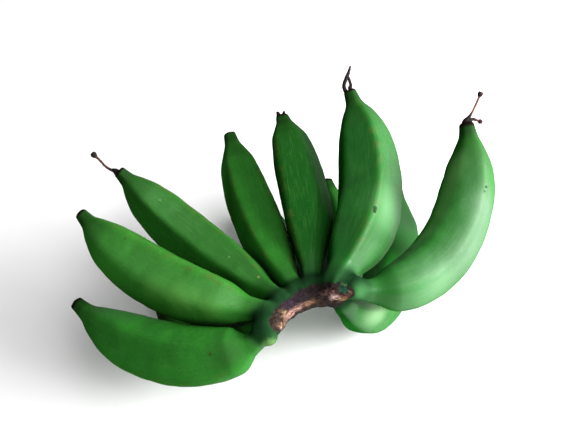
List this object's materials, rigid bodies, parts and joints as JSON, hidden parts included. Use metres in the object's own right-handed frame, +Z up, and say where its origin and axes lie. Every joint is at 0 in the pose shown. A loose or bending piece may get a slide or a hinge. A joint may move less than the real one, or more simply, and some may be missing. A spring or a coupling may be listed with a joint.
{
  "type": "cooking banana hand",
  "caption": "Whole hand of green cooking bananas: angular, bottle-necked fruits in two rows on a cut, dried crown, some tips with dried flower remains, resting on its bellies.",
  "frame": {"origin": "at floor level under the middle of the hand's bounding box, as the hand rests on the bellies of its lower fruits", "axes": "+Z up, -Y towards the cut face of the crown, +X to the right seen from the cut face"},
  "size_m": [0.3107, 0.2303, 0.1501],
  "materials": {
    "crown": "rough dried cut, brown to purple-black, fading to green where the fruit stalks leave it",
    "green_skin": "smooth waxy green fruit skin, satin",
    "dried_flower": "dry, dull, dark brown"
  },
  "bodies": {
    "root": {"crown": "crown", "fruit_front_1": "green_skin", "fruit_front_2": "green_skin", "fruit_front_3": "green_skin", "fruit_front_4": "green_skin", "fruit_front_5": "green_skin", "fruit_front_6": "green_skin", "fruit_front_7": "green_skin", "fruit_back_1": "green_skin", "fruit_back_2": "green_skin", "fruit_back_3": "green_skin", "fruit_back_4": "green_skin", "fruit_back_5": "green_skin", "style_front_3": "dried_flower", "style_front_5": "dried_flower", "style_front_6": "dried_flower", "style_front_7": "dried_flower"}
  },
  "joints": []
}
